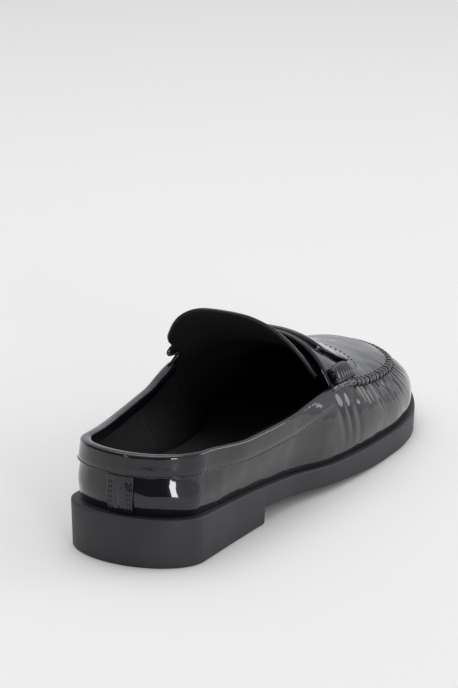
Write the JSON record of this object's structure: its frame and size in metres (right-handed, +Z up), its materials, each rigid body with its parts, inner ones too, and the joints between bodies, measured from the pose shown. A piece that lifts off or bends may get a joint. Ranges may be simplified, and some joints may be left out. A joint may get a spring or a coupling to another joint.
{
  "type": "loafer mule",
  "caption": "Backless-style slip-on loafer with a low closed heel counter, raised seam, strap with sewn rolls, tall tongue flap and a one-piece low-heeled sole.",
  "frame": {"origin": "centre of the bounding box on the floor, under the sole", "axes": "+Z up, +Y from the heel to the toe, +X to the outer side of the foot"},
  "size_m": [0.0955, 0.266, 0.0853],
  "materials": {
    "sole_rubber": "matte moulded",
    "upper_patent": "high-gloss patent",
    "trim_patent": "high-gloss patent",
    "lining_leather": "matte"
  },
  "bodies": {
    "root": {"outsole": "sole_rubber", "upper": "upper_patent", "insole": "lining_leather", "apron": "upper_patent", "collar_band": "trim_patent", "heel_strip": "trim_patent", "tongue": "upper_patent", "saddle_strap": "trim_patent", "beefroll_lateral": "trim_patent", "beefroll_medial": "trim_patent"}
  },
  "joints": []
}
